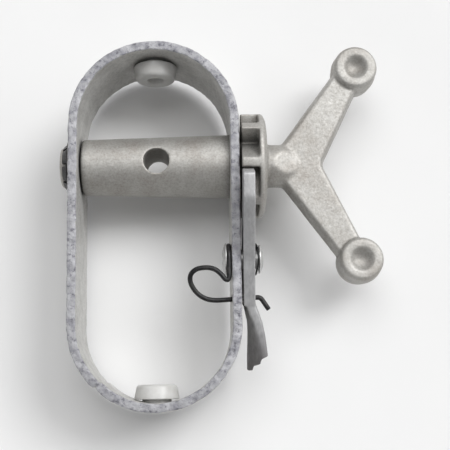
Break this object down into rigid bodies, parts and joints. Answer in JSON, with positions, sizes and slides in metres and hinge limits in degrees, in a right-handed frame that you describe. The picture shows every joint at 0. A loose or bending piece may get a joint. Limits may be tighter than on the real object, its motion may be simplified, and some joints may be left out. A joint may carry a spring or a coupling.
{
  "type": "wire rope tensioner winch",
  "caption": "Hand ratchet winch that tensions wire rope: a looped flat-bar frame, a cast drum spindle with ratchet wheel and Y handle, and a sprung pawl.",
  "frame": {"origin": "centre of the rope cross-hole on the spindle axis", "axes": "+X along the spindle axis towards the handle, +Y along the frame towards its nearer end, +Z across the bar's width, along the rope cross-hole"},
  "size_m": [0.1008, 0.1153, 0.0384],
  "materials": {
    "galvanised_bar": "hot-dip galvanised, mottled, rough sheared edges",
    "grommet_plastic": "translucent moulded plastic",
    "cast_alloy": "blasted die casting",
    "plated_steel": "zinc plated",
    "rivet_steel": "zinc plated",
    "black_spring_steel": "black oxide, oiled"
  },
  "bodies": {
    "frame": {"strap_frame": "galvanised_bar", "top_grommet": "grommet_plastic", "bottom_grommet": "grommet_plastic", "pawl_rivet": "rivet_steel", "wave_washer": "black_spring_steel", "pawl_spring": "black_spring_steel"},
    "spindle": {"winch_spindle": "cast_alloy", "star_lock_washer": "black_spring_steel"},
    "pawl_lever": {"pawl": "plated_steel"}
  },
  "joints": [
    {"name": "spindle_turn", "type": "hinge", "parent": "frame", "child": "spindle", "pos_m": [0, 0, 0], "axis": [1, 0, 0], "continuous": true},
    {"name": "pawl_swing", "type": "hinge", "parent": "frame", "child": "pawl_lever", "pos_m": [0.02785, -0.031, 0.007], "axis": [1, 0, 0], "range_deg": [-8, 16], "stiffness_Nm_per_rad": 0.03, "springref_deg": -28.65, "deforming": ["pawl_spring"]}
  ]
}
